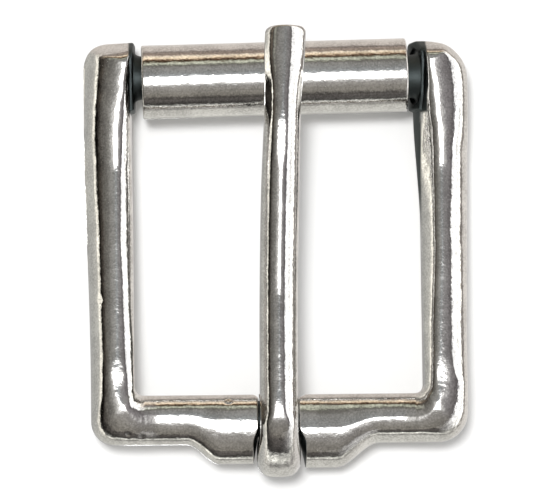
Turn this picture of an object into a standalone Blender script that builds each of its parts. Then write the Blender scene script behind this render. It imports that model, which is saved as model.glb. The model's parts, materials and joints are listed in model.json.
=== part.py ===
"""Heel-bar roller buckle for a 38 mm belt: a cast frame, a loose roller and a tongue.

The buckle lies on its back. X runs along the roller, Y runs from the heel bar to the roller, and
Z is up. Every shape is drawn in millimetres about the axis of the heel bar's neck, and is then moved
so that the origin is below the middle of the whole buckle, on the surface that it lies on.
"""

import math

import bmesh
import bpy
from mathutils import Vector

MM = 0.001

# Frame, in plan
STRAP_WIDTH = 39.5  # clear width between the side bars, for a 38 mm strap
BAR_WIDTH = 5.95
BAR_SWELL = 0.75  # how much further out the bars reach at the ears than at the heel
SPINDLE_Y = 47.0  # from the neck's axis to the spindle's axis
HEEL_WIDTH = 6.7
HEEL_OUTER_RADIUS = {"left": 3.2, "right": 4.0}
HEEL_INNER_RADIUS = 1.2
BULGE = {"left": 2.7, "right": 3.3}  # how far the middle of the heel bar stands out
BULGE_FLAT = {"left": 8.2, "right": 7.7}  # from the middle to the end of the bulge's straight edge
BULGE_END = {"left": 12.8, "right": 13.6}  # from the middle to where the bulge has faded
EAR_REACH = 4.9  # from the spindle's axis to the end of the ear, and back to where the ear begins
EAR_RADIUS = 3.4
EAR_PIVOT_RADIUS = 0.2  # the tight corner that an ear's sections fan round
EAR_EASE = {"left": 0.35, "right": 0.6}  # how far the ear's upper inner edge steps back
SKIRT = {"left": 0.3, "right": 1.45}  # how far the foot of the ear's inner wall comes in
SKIRT_LENGTH = 16.0  # how far the skirt runs down the side bar

# Frame, in section
BACK_Z = -3.0  # the flat back, from the neck's axis
FLANK = 1.1  # height of the widest line above the back
BACK_EDGE = 0.9  # width of the rounding at the back's edges
CROWN = 1.7  # exponent of the domed top: 2 is an ellipse
EAR_CROWN = 6.0  # the ear is square along its inner edge
SQUARE_LENGTH = 8.0  # how far down the side bar the square edge fades
EAR_CREST = 0.56  # the ear's crest, as a part of its width from the inner side
THICKNESS_BY_Y = (
    (-3.0, 6.0),
    (5.5, 6.3),
    (33.0, 4.8),
    (42.0, 5.9),
    (SPINDLE_Y, 6.2),
)
HEEL_THICKNESS = 5.6
SHOULDER_THICKNESS = 6.2

# Neck and shoulders of the heel bar
SHOULDER_X = {"left": 3.5, "right": 3.7}  # from the middle to the shoulders of the tongue's slot
SHOULDER_ROUND = 0.5
NECK_RADIUS = 2.5

# Spindle and roller
SPINDLE_RADIUS = 3.0
SPINDLE_HEIGHT = 2.7  # half its height: it is slightly flat
FLARE_RADIUS = 3.9
FLARE_HEIGHT = 2.75
FLARE_LENGTH = 1.2
WALL_ROUND = 0.3  # rounding between the ear's outside and its inner wall
ROLLER_RADIUS = 5.05
ROLLER_BORE_RADIUS = 3.85
ROLLER_ENDS = (-18.4, 17.95)
ROLLER_SKEW = 1.3  # degrees: the roller is loose, and lies a little askew on its spindle
ROLLER_DROP = 0.2  # and a little nearer to the heel than its spindle
ROLLER_EDGE = 0.25
SEAM_WIDTH = 0.3
SEAM_ANGLE = -65.0  # on the back of the roller, clear of the line it rests on

# Tongue
GAP = 0.3  # air between pieces that touch
TONGUE_WIDTH = 5.3
LOOP_WIDTH = 5.9
TIP_WIDTH = 2.8
TIP_Y = SPINDLE_Y + 6.3
TIP_CHAMFER = 1.3
TONGUE_SHIFT = -0.22  # the loop sits a little to one side of its slot
TONGUE_BEND = 1.15  # sideways, where the tongue crosses the spindle
TONGUE_CROWN = 1.8
TONGUE_EDGE = 0.5
BODY_FLANK = 0.2  # height of the widest line above the underside, as a part of the thickness
LEAD_IN_FLANK = 0.25
CUSP_FLANK = 0.3
LOOP_FLANK = 0.35
LOOP_CREST = 7.8
LOOP_HEEL = 8.05
TAIL_THICKNESS = 2.25
CUSP_ANGLE = 12.0  # where the tongue's underside meets the bore of its loop
TAIL_ANGLE = 340.0  # where the curled end stops
WIDENING = (6.0, 20.0)  # the body widens to the loop's width between these places
TONGUE_TOP = ((0.0, LOOP_CREST), (7.0, 7.55), (24.0, 6.8), (44.0, 7.6), (48.5, 7.55), (TIP_Y, 6.2))
TONGUE_UNDERSIDE = (
    (3.0, 0.7),
    (7.0, 1.9),
    (24.0, 2.5),
    (38.0, 3.6),
    (43.5, 5.1),
    (SPINDLE_Y, ROLLER_RADIUS + GAP),
    (TIP_Y, 4.6),
)

# Where the tongue's sections stand: upright along the body, then turning into the loop
TONGUE_BODY_Y = (
    (TIP_Y, TIP_Y - 0.4 * TIP_CHAMFER, TIP_Y - TIP_CHAMFER)
    + (50.5, 49.0, 47.5, 46.0, 44.5, 43.0, 41.0, 38.0)
    + (34.0, 30.0, 26.0, 22.0, 18.0, 14.0, 11.0)
)
LEAD_IN = ((8.0, 8.6), (5.2, 6.4), (3.6, 4.9))  # y on the underside, y on the crest
LOOP_START_Y = 4.2  # y on the crest of the first section that turns about the neck

# Mesh fineness
DOME_POINTS = 15
EDGE_POINTS = 2
CORNER_STEPS = 15
ROUND_STEPS = 6
HEEL_STEPS = 16
BAR_STEP = 2.2
ROLLER_STEPS = 44
CUSP_STEPS = 5
LOOP_STEPS = 25

INNER_X = STRAP_WIDTH / 2
OUTER_X = INNER_X + BAR_WIDTH
HEEL_HALF = HEEL_WIDTH / 2
EAR_START_Y = SPINDLE_Y - EAR_REACH
EAR_THICKNESS = THICKNESS_BY_Y[-1][1]
EAR_CROWNS = (EAR_CROWN, CROWN)
BORE_RADIUS = NECK_RADIUS + GAP
ORIGIN = Vector(
    (
        0.0,
        (TIP_Y - LOOP_HEEL) / 2,
        -ROLLER_RADIUS,
    )
)

COLOURS = {
    "buckle_frame": ((0.70, 0.69, 0.67, 1.0), 0.12),
    "roller": ((0.74, 0.73, 0.71, 1.0), 0.10),
    "tongue": ((0.68, 0.67, 0.65, 1.0), 0.12),
}


def remove_everything():
    for old in list(bpy.data.objects):
        bpy.data.objects.remove(old, do_unlink=True)


def ease(t):
    """Smooth step from 0 to 1, flat at both ends."""
    t = min(max(t, 0.0), 1.0)
    return t * t * (3.0 - 2.0 * t)


def along(knots, at):
    """Value at a place on a smooth curve through (place, value) knots."""
    if at <= knots[0][0]:
        return knots[0][1]
    for (a, low), (b, high) in zip(knots, knots[1:]):
        if at <= b:
            return low + (high - low) * ease((at - a) / (b - a))
    return knots[-1][1]


def superellipse(angle, exponent):
    """Point of a unit superellipse at an angle in radians."""
    c, s = math.cos(angle), math.sin(angle)
    power = 2.0 / exponent
    return math.copysign(abs(c) ** power, c), math.copysign(abs(s) ** power, s)


def domed_section(height, flank, edge, crowns=(CROWN, CROWN), crest=0.5):
    """Closed outline with a domed top and a flat back, from its inner to its outer side.

    Each point is (across, up): across runs from -1 at the inner side to 1 at the outer side, and up
    is in millimetres above the back. edge is the width of the back's rounding as a part of the half
    width, crowns are the exponents of the dome's inner and outer half, and crest is where they meet.
    """
    middle = 2.0 * crest - 1.0
    points = []
    for i in range(DOME_POINTS):
        angle = math.pi * (1.0 - i / (DOME_POINTS - 1))
        inside = angle > math.pi / 2
        across, up = superellipse(angle, crowns[0] if inside else crowns[1])
        across *= 1.0 + middle if inside else 1.0 - middle
        points.append((middle + across, flank + (height - flank) * up))
    corner = []
    for i in range(1, EDGE_POINTS + 2):
        angle = math.pi / 2 * i / (EDGE_POINTS + 1)
        corner.append((1.0 - edge + edge * math.cos(angle), flank * (1.0 - math.sin(angle))))
    points += corner
    points += [(-across, up) for across, up in reversed(corner)]
    return points


def add_loft(name, rings, closed=False):
    """Mesh object through rings of points in millimetres, each with the same number of points."""
    bm = bmesh.new()
    loops = [[bm.verts.new(Vector(p) * MM) for p in ring] for ring in rings]
    pairs = list(zip(loops, loops[1:]))
    if closed:
        pairs.append((loops[-1], loops[0]))
    for a, b in pairs:
        for i in range(len(a)):
            j = (i + 1) % len(a)
            bm.faces.new((a[i], a[j], b[j], b[i]))
    if not closed:
        bm.faces.new(loops[0])
        bm.faces.new(loops[-1])
    bmesh.ops.recalc_face_normals(bm, faces=bm.faces[:])
    mesh = bpy.data.meshes.new(name)
    bm.to_mesh(mesh)
    bm.free()
    piece = bpy.data.objects.new(name, mesh)
    bpy.context.scene.collection.objects.link(piece)
    return piece


# ---- frame ----


def frame_ring(inner, outer, height, inset=0.0, skirt=0.0, spread=0.0, **shape):
    """Section of the frame between two points of its plan, its inner and its outer edge.

    skirt pushes the section's foot towards the middle of the buckle: only its inner half, or all of
    it where spread is 1.
    """
    inner, outer = Vector(inner), Vector(outer)
    middle = (inner + outer) / 2
    half = (outer - inner) / 2
    width = half.length
    side = math.copysign(1.0, inner.x)
    ring = []
    for across, up in domed_section(height, FLANK, BACK_EDGE / width, **shape):
        plan = middle + half * across * (width - inset) / width
        foot = 1.0 - ease(up / height)
        share = spread + (1.0 - spread) * ease(-2.0 * across)
        rise = BACK_Z + inset + up * (height - 2.0 * inset) / height
        ring.append((plan.x - side * skirt * foot * share, plan.y, rise))
    return ring


def rounded_reach(start, way, corner, radius):
    """Where a ray leaves a quarter of a rounded rectangle, whose corner is far along x and y."""
    reach = min(abs(corner[i] - start[i]) / max(abs(way[i]), 1e-9) for i in (0, 1))
    point = start + way * reach
    centre = Vector([c - math.copysign(radius, w) for c, w in zip(corner, way)])
    beyond = [(point[i] - centre[i]) * math.copysign(1.0, way[i]) > 0.0 for i in (0, 1)]
    if not all(beyond):
        return point
    offset = start - centre
    ahead = offset.dot(way)
    return start + way * (math.sqrt(ahead**2 - offset.length_squared + radius**2) - ahead)


def bar_inner_x(side, y):
    return INNER_X + EAR_EASE[side] * ease((y - EAR_START_Y + SKIRT_LENGTH) / SKIRT_LENGTH)


def bar_skirt(side, y):
    return SKIRT[side] * ease((y - EAR_START_Y + SKIRT_LENGTH) / SKIRT_LENGTH)


def bar_outer_x(y):
    return OUTER_X + BAR_SWELL * ease((y - HEEL_HALF) / (EAR_START_Y - HEEL_HALF))


def spindle_rings(side, sign):
    """Half of the spindle, from the middle to the ear that it flares into."""
    wall = bar_inner_x(side, EAR_START_Y) - EAR_PIVOT_RADIUS - WALL_ROUND
    rings = [oval_ring(sign * wall / 4, SPINDLE_RADIUS, SPINDLE_HEIGHT)]
    for i in range(ROUND_STEPS + 1):
        flare = 1.0 - math.cos(math.pi / 2 * i / ROUND_STEPS)
        x = wall - FLARE_LENGTH * (1.0 - math.sin(math.pi / 2 * i / ROUND_STEPS))
        radius = SPINDLE_RADIUS + (FLARE_RADIUS - SPINDLE_RADIUS) * flare
        half_height = SPINDLE_HEIGHT + (FLARE_HEIGHT - SPINDLE_HEIGHT) * flare
        ring = oval_ring(sign * x, radius, half_height)
        rings.append([(px - sign * wall_lean(side, z) * flare, py, z) for px, py, z in ring])
    return rings


def wall_lean(side, z):
    """How far the ear's inner wall comes in at a height."""
    return SKIRT[side] * (1.0 - ease((z - BACK_Z) / EAR_THICKNESS))


def oval_ring(x, radius, half_height):
    """Oval section of the spindle, with its points in the order of a frame section."""
    ring = []
    for y, z in round_section():
        ring.append((x, SPINDLE_Y - radius * y, half_height * z))
    return ring


def round_section():
    """Unit circle with as many points as a frame section, from y = 1 over the top."""
    over = DOME_POINTS - 1
    under = 2 * (EDGE_POINTS + 1) + 1
    points = []
    for i in range(over + under):
        angle = math.pi * (i / over if i < over else 1.0 + (i - over) / under)
        points.append((math.cos(angle), math.sin(angle)))
    return points


def ear_rings(side, sign):
    """Sections that fan round an ear, from its inner wall to the side bar."""
    pivot = Vector((bar_inner_x(side, EAR_START_Y) - EAR_PIVOT_RADIUS, EAR_START_Y))
    corner = (bar_outer_x(EAR_START_Y), SPINDLE_Y + EAR_REACH)
    rings = []
    for i in range(EDGE_POINTS + 1, 0, -1):
        angle = math.pi / 2 * i / (EDGE_POINTS + 1)
        x = pivot.x - WALL_ROUND * math.sin(angle)
        inset = WALL_ROUND * (1.0 - math.cos(angle))
        rings.append(ear_ring(side, sign, (x, pivot.y + EAR_PIVOT_RADIUS), (x, corner[1]), 1.0, inset))
    for i in range(CORNER_STEPS, 0, -1):
        angle = math.pi / 2 * i / CORNER_STEPS
        way = Vector((math.cos(angle), math.sin(angle)))
        outer = rounded_reach(pivot, way, corner, EAR_RADIUS)
        inner = pivot + way * EAR_PIVOT_RADIUS
        rings.append(ear_ring(side, sign, inner, outer, i / CORNER_STEPS))
    return rings


def ear_ring(side, sign, inner, outer, turned, inset=0.0):
    """Section of an ear. turned is 0 across the side bar and 1 along the inner wall."""
    start = along(THICKNESS_BY_Y, EAR_START_Y)
    return frame_ring(
        (sign * inner[0], inner[1]),
        (sign * outer[0], outer[1]),
        start + (EAR_THICKNESS - start) * ease(turned),
        inset=inset,
        skirt=SKIRT[side],
        spread=ease(3.0 * turned - 2.0),
        crowns=EAR_CROWNS,
        crest=EAR_CREST,
    )


def bar_rings(side, sign):
    """Sections of one side bar, from its ear down to the heel corner."""
    end = HEEL_HALF + HEEL_INNER_RADIUS
    steps = round((EAR_START_Y - end) / BAR_STEP)
    rings = []
    for i in range(steps + 1):
        y = EAR_START_Y + (end - EAR_START_Y) * i / steps
        square = ease((y - EAR_START_Y + SQUARE_LENGTH) / SQUARE_LENGTH)
        rings.append(
            frame_ring(
                (sign * bar_inner_x(side, y), y),
                (sign * bar_outer_x(y), y),
                along(THICKNESS_BY_Y, y),
                skirt=bar_skirt(side, y),
                crowns=(CROWN + (EAR_CROWN - CROWN) * square, CROWN),
                crest=0.5 + (EAR_CREST - 0.5) * square,
            )
        )
    return rings


def heel_corner_rings(side, sign):
    """Sections that fan round one heel corner."""
    pivot = Vector((INNER_X - HEEL_INNER_RADIUS, HEEL_HALF + HEEL_INNER_RADIUS))
    rings = []
    for i in range(1, CORNER_STEPS):
        angle = math.pi / 2 * i / CORNER_STEPS
        way = Vector((math.cos(angle), -math.sin(angle)))
        inner = pivot + way * HEEL_INNER_RADIUS
        outer = rounded_reach(pivot, way, (OUTER_X, -HEEL_HALF), HEEL_OUTER_RADIUS[side])
        turned = ease(i / CORNER_STEPS)
        height = along(THICKNESS_BY_Y, pivot.y) * (1.0 - turned) + HEEL_THICKNESS * turned
        rings.append(frame_ring((sign * inner.x, inner.y), (sign * outer.x, outer.y), height))
    return rings


def bulge_share(side, x):
    """How much of the heel bar's bulge there is at a distance from the middle, from 0 to 1."""
    return 1.0 - ease((x - BULGE_FLAT[side]) / (BULGE_END[side] - BULGE_FLAT[side]))


def heel_ring(side, sign, x, inset=0.0):
    """Section across the heel bar at a distance from the middle."""
    bulge = bulge_share(side, x)
    height = HEEL_THICKNESS + (SHOULDER_THICKNESS - HEEL_THICKNESS) * bulge
    outer_y = -HEEL_HALF - BULGE[side] * bulge
    return frame_ring((sign * x, HEEL_HALF), (sign * x, outer_y), height, inset=inset)


def heel_rings(side, sign):
    """Sections of one half of the heel bar, from its corner to the middle of the neck."""
    shoulder = SHOULDER_X[side]
    start = INNER_X - HEEL_INNER_RADIUS
    end = shoulder + SHOULDER_ROUND
    rings = []
    for i in range(HEEL_STEPS + 1):
        rings.append(heel_ring(side, sign, start + (end - start) * i / HEEL_STEPS))
    for i in range(1, EDGE_POINTS + 2):
        angle = math.pi / 2 * i / (EDGE_POINTS + 1)
        x = shoulder + SHOULDER_ROUND * (1.0 - math.sin(angle))
        rings.append(heel_ring(side, sign, x, inset=SHOULDER_ROUND * (1.0 - math.cos(angle))))
    for x in (shoulder, shoulder / 2):
        rings.append([(sign * x, NECK_RADIUS * y, NECK_RADIUS * z) for y, z in round_section()])
    return rings


def half_frame_rings(side, sign):
    """Sections of half the frame, from the middle of the spindle to the middle of the neck."""
    rings = spindle_rings(side, sign) + ear_rings(side, sign)
    return rings + bar_rings(side, sign) + heel_corner_rings(side, sign) + heel_rings(side, sign)


def add_frame():
    right = half_frame_rings("right", 1)
    left = half_frame_rings("left", -1)
    return add_loft("buckle_frame", right + left[::-1], closed=True)


# ---- roller ----


def roller_section(radius, bore_radius):
    """Open ring of sheet metal, as (y, z) points about the roller's axis."""
    half_seam = math.asin(SEAM_WIDTH / 2 / radius)
    start = math.radians(SEAM_ANGLE) + half_seam
    sweep = 2 * math.pi - 2 * half_seam
    angles = [start + sweep * i / ROLLER_STEPS for i in range(ROLLER_STEPS + 1)]
    outside = [(radius * math.cos(a), radius * math.sin(a)) for a in angles]
    inside = [(bore_radius * math.cos(a), bore_radius * math.sin(a)) for a in reversed(angles)]
    return outside + inside


def add_roller():
    left, right = ROLLER_ENDS
    stations = (
        (left, ROLLER_EDGE),
        (left + ROLLER_EDGE, 0.0),
        (right - ROLLER_EDGE, 0.0),
        (right, ROLLER_EDGE),
    )
    rings = []
    for x, bevel in stations:
        section = roller_section(ROLLER_RADIUS - bevel, ROLLER_BORE_RADIUS)
        rings.append([(x, y, z) for y, z in section])
    return add_loft("roller", rings)


# ---- tongue ----


def tongue_side_shift(y):
    return TONGUE_SHIFT + TONGUE_BEND * (max(y, 0.0) / SPINDLE_Y) ** 2


def tongue_width(y):
    """Width of the tongue's body, with its chamfered tip and its widening towards the loop."""
    chamfer = max(1.0 - (TIP_Y - y) / TIP_CHAMFER, 0.0)
    low, high = WIDENING
    widening = 1.0 - ease((y - low) / (high - low))
    return TONGUE_WIDTH - (TONGUE_WIDTH - TIP_WIDTH) * chamfer + (LOOP_WIDTH - TONGUE_WIDTH) * widening


def tongue_ring(foot, crest, width, flank_share):
    """Section of the tongue between its underside and its crest, both points of its side view."""
    foot, crest = Vector(foot), Vector(crest)
    rise = crest - foot
    height = rise.length
    edge = TONGUE_EDGE / (width / 2)
    crowns = (TONGUE_CROWN, TONGUE_CROWN)
    ring = []
    for across, up in domed_section(height, flank_share * height, edge, crowns):
        y, z = foot + rise * (up / height)
        ring.append((across * width / 2 + tongue_side_shift(y), y, z))
    return ring


def underside(y):
    return y, along(TONGUE_UNDERSIDE, y)


def top(y):
    return y, along(TONGUE_TOP, y)


def loop_crest(angle):
    """Outside of the loop, by its angle about the neck from +Y towards +Z, in degrees."""
    radius = along(
        ((90.0, LOOP_CREST), (180.0, LOOP_HEEL), (262.0, BORE_RADIUS + TAIL_THICKNESS)), angle
    )
    return polar(radius, angle)


def polar(radius, angle):
    return radius * math.cos(math.radians(angle)), radius * math.sin(math.radians(angle))


def tongue_rings():
    rings = []
    for y in TONGUE_BODY_Y:
        rings.append(tongue_ring(underside(y), top(y), tongue_width(y), BODY_FLANK))
    for foot_y, crest_y in LEAD_IN:
        rings.append(tongue_ring(underside(foot_y), top(crest_y), LOOP_WIDTH, LEAD_IN_FLANK))
    for i in range(CUSP_STEPS):
        foot = polar(BORE_RADIUS, CUSP_ANGLE + (90.0 - CUSP_ANGLE) * i / CUSP_STEPS)
        crest = top(LOOP_START_Y * (1.0 - i / CUSP_STEPS))
        rings.append(tongue_ring(foot, crest, LOOP_WIDTH, CUSP_FLANK))
    for i in range(LOOP_STEPS + 1):
        angle = 90.0 + (TAIL_ANGLE - 90.0) * i / LOOP_STEPS
        rings.append(tongue_ring(polar(BORE_RADIUS, angle), loop_crest(angle), LOOP_WIDTH, LOOP_FLANK))
    return rings


def add_tongue():
    return add_loft("tongue", tongue_rings())


# ---- assembly ----


def finish_piece(piece, axis_point):
    """Material, smooth shading and the place of a piece's axis in the world."""
    colour, roughness = COLOURS[piece.name]
    material = bpy.data.materials.new(piece.name)
    material.use_nodes = True
    shader = material.node_tree.nodes["Principled BSDF"]
    shader.inputs["Base Color"].default_value = colour
    shader.inputs["Metallic"].default_value = 1.0
    shader.inputs["Roughness"].default_value = roughness
    piece.data.materials.append(material)
    piece.data.shade_smooth()
    piece.data.set_sharp_from_angle(angle=math.radians(35.0))
    piece.location = (Vector(axis_point) - ORIGIN) * MM


def main():
    remove_everything()
    finish_piece(add_frame(), (0.0, 0.0, 0.0))
    roller = add_roller()
    finish_piece(roller, (0.0, SPINDLE_Y - ROLLER_DROP, 0.0))
    roller.rotation_euler.z = math.radians(ROLLER_SKEW)
    finish_piece(add_tongue(), (0.0, 0.0, 0.0))
    bpy.context.view_layer.update()


main()
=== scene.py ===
import json
import math

import bmesh
import bpy
import numpy as np
from mathutils import Matrix, Vector, noise


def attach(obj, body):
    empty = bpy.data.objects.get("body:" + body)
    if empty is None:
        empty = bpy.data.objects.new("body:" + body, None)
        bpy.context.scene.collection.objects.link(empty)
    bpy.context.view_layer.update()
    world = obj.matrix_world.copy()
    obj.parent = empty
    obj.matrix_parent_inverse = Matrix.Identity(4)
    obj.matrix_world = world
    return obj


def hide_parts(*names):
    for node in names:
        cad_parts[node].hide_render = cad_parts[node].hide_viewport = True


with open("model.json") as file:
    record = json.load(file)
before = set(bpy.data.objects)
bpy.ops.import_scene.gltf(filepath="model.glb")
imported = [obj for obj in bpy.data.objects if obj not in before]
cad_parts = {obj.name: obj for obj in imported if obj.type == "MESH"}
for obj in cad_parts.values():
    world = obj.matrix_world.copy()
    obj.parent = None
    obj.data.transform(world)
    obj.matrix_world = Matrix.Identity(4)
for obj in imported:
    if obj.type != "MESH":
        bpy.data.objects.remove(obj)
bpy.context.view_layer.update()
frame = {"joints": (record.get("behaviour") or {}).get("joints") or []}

MM = 0.001

# Lengths are in millimetres and angles in degrees. The frame and the tongue are drawn about the axis
# of the heel bar's neck: X runs along it, Y towards the roller and Z out of the domed front.

# ---- sizes of the frame ----

STRAP_WIDTH = 39.5
BAR_WIDTH = 5.95
BAR_SWELL = 0.75  # how much wider a side bar is at its ear than at the heel
SPINDLE_Y = 47.0
HEEL_WIDTH = 6.7
HEEL_OUTER_RADIUS = {"left": 3.2, "right": 4.0}
HEEL_INNER_RADIUS = 1.2
BULGE = {"left": 2.7, "right": 3.3}  # how far the heel bar's middle stands out
BULGE_FLAT = {"left": 8.2, "right": 7.7}  # how far from the middle it does so fully
BULGE_END = {"left": 12.8, "right": 13.6}
EAR_REACH = 4.9  # from the spindle's axis to either end of an ear
EAR_RADIUS = {"left": 3.4, "right": 5.6}
EAR_PIVOT_RADIUS = 0.2
EAR_EASE = {"left": 0.35, "right": 0.6}  # how far an ear stands back from the strap's edge
SKIRT = {"left": 0.3, "right": 1.45}  # how far the foot of its inner wall comes in again
SKIRT_LENGTH = 16.0  # along the side bar, below the ear
BACK_Z = -3.0
BACK_EDGE = 0.9  # width of the back's rounded edges
WALL_FOOT = 1.1  # height of the same
LEAST_WALL = 0.1  # height that a section's upright wall has at least
THICKNESS_SMOOTHING = 1.5
THICKNESS_BY_Y = ((3.0, 6.5), (5.0, 6.38), (7.3, 6.36), (35.3, 4.55), (42.0, 5.6), (50.0, 6.2))
# Lines that run along a side bar and its ear, by y: how far from the middle of the buckle the
# inner side slopes 45 degrees and 25 degrees, the crest, and the outer side 25 and 45 degrees
BAR_LINES = {
    "left": (
        (4.0, (19.85, 20.55, 22.08, 23.35, 24.1)),
        (9.0, (19.9, 20.85, 22.05, 23.35, 24.05)),
        (16.0, (20.2, 21.1, 22.0, 23.4, 24.25)),
        (25.0, (20.25, 21.4, 22.0, 23.5, 24.45)),
        (34.0, (20.3, 21.3, 22.02, 23.7, 24.8)),
        (39.0, (20.4, 21.05, 22.0, 23.85, 24.95)),
        (42.2, (20.38, 20.9, 21.74, 23.8, 24.85)),
        (45.6, (20.35, 20.65, 21.1, 23.5, 24.6)),
        (49.5, (20.25, 20.4, 20.6, 23.0, 24.4)),
    ),
    "right": (
        (4.0, (20.7, 21.0, 21.85, 24.7, 25.15)),
        (6.8, (20.8, 21.1, 21.9, 23.8, 25.1)),
        (10.0, (20.88, 21.2, 22.0, 23.8, 25.15)),
        (24.0, (21.38, 21.75, 22.44, 23.9, 25.28)),
        (36.5, (21.4, 21.8, 22.59, 24.35, 25.45)),
        (39.3, (21.3, 21.65, 22.45, 24.75, 25.7)),
        (42.0, (21.0, 21.35, 22.15, 24.9, 25.8)),
        (45.0, (20.75, 21.05, 21.9, 24.9, 25.8)),
        (49.0, (20.7, 20.9, 21.2, 24.5, 25.45)),
    ),
}
# Steep ends of an ear: a point where it slopes 45 degrees, which way it faces there, and how far
# back from the point it slopes 25 degrees and is level
EAR_ENDS = {
    "left": (((24.0, 49.6), 79.0, 0.9, 1.5),),
    "right": (((22.0, 50.3), 90.0, 0.5, 1.4), ((23.8, 49.6), 42.0, 0.5, 1.2)),
}
EAR_END_REACH = 2.6
EAR_CREASE = 4.0  # how sharply a steep end meets the dome
EAR_FLAT = 0.15
DOME_FLAT = 0.2  # share of a dome, from its crest to where it slopes 25 degrees, that is nearly level
FLAT_BY_Y = ((4.0, 0.3), (6.3, 0.6), (10.0, DOME_FLAT), (38.0, DOME_FLAT), (42.0, EAR_FLAT))  # the same
HEEL_INNER_LINES = (0.72, 1.65)  # from the heel bar's inner edge to 45 and 25 degrees
HEEL_OUTER_TURN = {"left": 0.8, "right": 1.3}  # from its outer edge to 45 degrees
HEEL_OUTER_SHOULDER = 0.76  # share of the way from the crest to 45 degrees
HEEL_CREST = {"left": 2.95, "right": 3.4}  # from the heel bar's inner edge
BULGE_CREST = {"left": 0.85, "right": 1.4}  # how much further out it is along the bulge
HEEL_FLAT = {"left": 0.3, "right": 0.12}
HEEL_SMOOTHING = 0.6
HEEL_THICKNESS_BY_X = ((5.0, 5.8), (12.0, 5.45), (16.6, 5.4), (20.0, 6.1))
CORNER_PEAK = 0.55  # share of the way round a heel corner where it is thickest
CORNER_RISE = 0.2
CORNER_SMOOTHING = 0.1  # as a share of the way round
CORNER_FLAT = 0.12
SHOULDER_X = {"left": 2.95, "right": 2.55}  # from the middle to the shoulders beside the tongue
SHOULDER_ROUND = 0.2
STEP_BACK = {"left": 0.65, "right": 0.95}  # how far a shoulder stands back where the loop is wide
STEP_BACK_SHARE = ((2.0, 1.0), (24.0, 0.0), (112.0, 0.0), (148.0, 1.0))  # by angle about the neck
STEP_BACK_LENGTH = 3.0  # how far along the heel bar it fades out
NECK_RADIUS = 2.5
SPINDLE_RADIUS = 3.0
SPINDLE_HEIGHT = 2.7
FLARE_RADIUS = 3.9
FLARE_HEIGHT = 2.75
FLARE_LENGTH = 1.2
WALL_ROUND = 0.3

# ---- sizes of the roller and of the tongue ----

ROLLER_RADIUS = 5.05
ROLLER_BORE_RADIUS = 3.85
ROLLER_ENDS = (-18.4, 17.95)
ROLLER_EDGE = 0.25
SEAM_WIDTH = 0.3
SEAM_ANGLE = -65.0
GAP = 0.3
BORE_RADIUS = NECK_RADIUS + GAP
TIP_WIDTH = 3.5
TIP_Y = SPINDLE_Y + 6.3
TIP_CHAMFER = 1.0
TIP_EDGE = 0.3
TONGUE_SHIFT = -0.22  # how far left of the middle the tongue sits on its neck
TONGUE_BEND = 1.15  # how far right it has bent at the roller
# Of the tongue's left and right side: from the edge to 45 degrees, and the share of the way from
# the crest to there at which it slopes 25 degrees
BODY_FLANK = (1.1, 0.6)
BODY_SHOULDER = (0.74, 0.41)
TIP_FLANK = (0.65, 0.2)
TIP_FLANK_START_Y = 44.0
TIP_FLANK_LENGTH = 6.0
LOOP_FLANK = (0.75, 0.6)
LOOP_SHOULDER = (0.84, 0.8)
LOOP_FLANK_START_Y = 1.2
LOOP_FLANK_LENGTH = 2.6
TONGUE_EDGE = 0.5
# Height of the rounded lower edges, as a share of the section
BODY_FOOT = 0.2
CUSP_FOOT = 0.3
LOOP_FOOT = 0.35
TAIL_THICKNESS = 2.25
CUSP_ANGLE = 12.0
TAIL_ANGLE = 340.0
TONGUE_WIDTHS = ((0.0, 5.1), (30.0, 5.2), (42.0, 4.95), (50.0, 5.55))
LOOP_WIDTHS = ((100.0, 5.1), (165.0, 5.95), (185.0, 5.95), (212.0, 5.1))  # by angle about the neck
TONGUE_TOP = (
    (0.0, 7.78),
    (1.5, 7.87),
    (3.2, 7.71),
    (8.0, 7.43),
    (17.0, 6.8),
    (36.0, 7.6),
    (40.5, 7.75),
    (46.0, 7.5),
    (TIP_Y, 6.7),
)
TONGUE_FLAT = (
    (0.0, 0.6),
    (2.5, 0.5),
    (5.0, 0.12),
    (33.0, 0.1),
    (36.5, 0.55),
    (39.0, 0.55),
    (42.5, 0.15),
)
TOP_SMOOTHING = 1.0
LOOP_SMOOTHING = 14.0
LOOP_RADII = (
    (90.0, 7.78),
    (112.0, 7.3),
    (131.0, 7.05),
    (150.0, 7.2),
    (176.0, 8.06),
    (188.0, 8.06),
    (233.0, 6.05),
    (250.0, 5.22),
    (264.0, BORE_RADIUS + TAIL_THICKNESS),
)
TONGUE_UNDERSIDE = (
    (3.0, 0.7),
    (7.0, 1.9),
    (24.0, 2.5),
    (38.0, 3.6),
    (43.5, 5.1),
    (SPINDLE_Y, ROLLER_RADIUS + GAP),
    (TIP_Y, 4.6),
)
LOOP_START_Y = 4.2
LEAD_START_Y = 11.0
# Where the tongue's body turns into its loop, the underside of a section runs ahead of its crest:
# y of the one and of the other
LEAD = (
    (LEAD_START_Y, LEAD_START_Y),
    (8.0, 8.6),
    (5.2, 6.4),
    (3.6, 4.9),
    (BORE_RADIUS * math.cos(math.radians(CUSP_ANGLE)), LOOP_START_Y),
)

# ---- marks of casting and of polishing by hand ----

POLISH_SLOW = 0.04
POLISH_SLOW_SCALE = 0.16
POLISH_QUICK = 0.010
POLISH_QUICK_SCALE = 0.55
ROUND_POLISH = 0.35  # share of it on the roller
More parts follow.
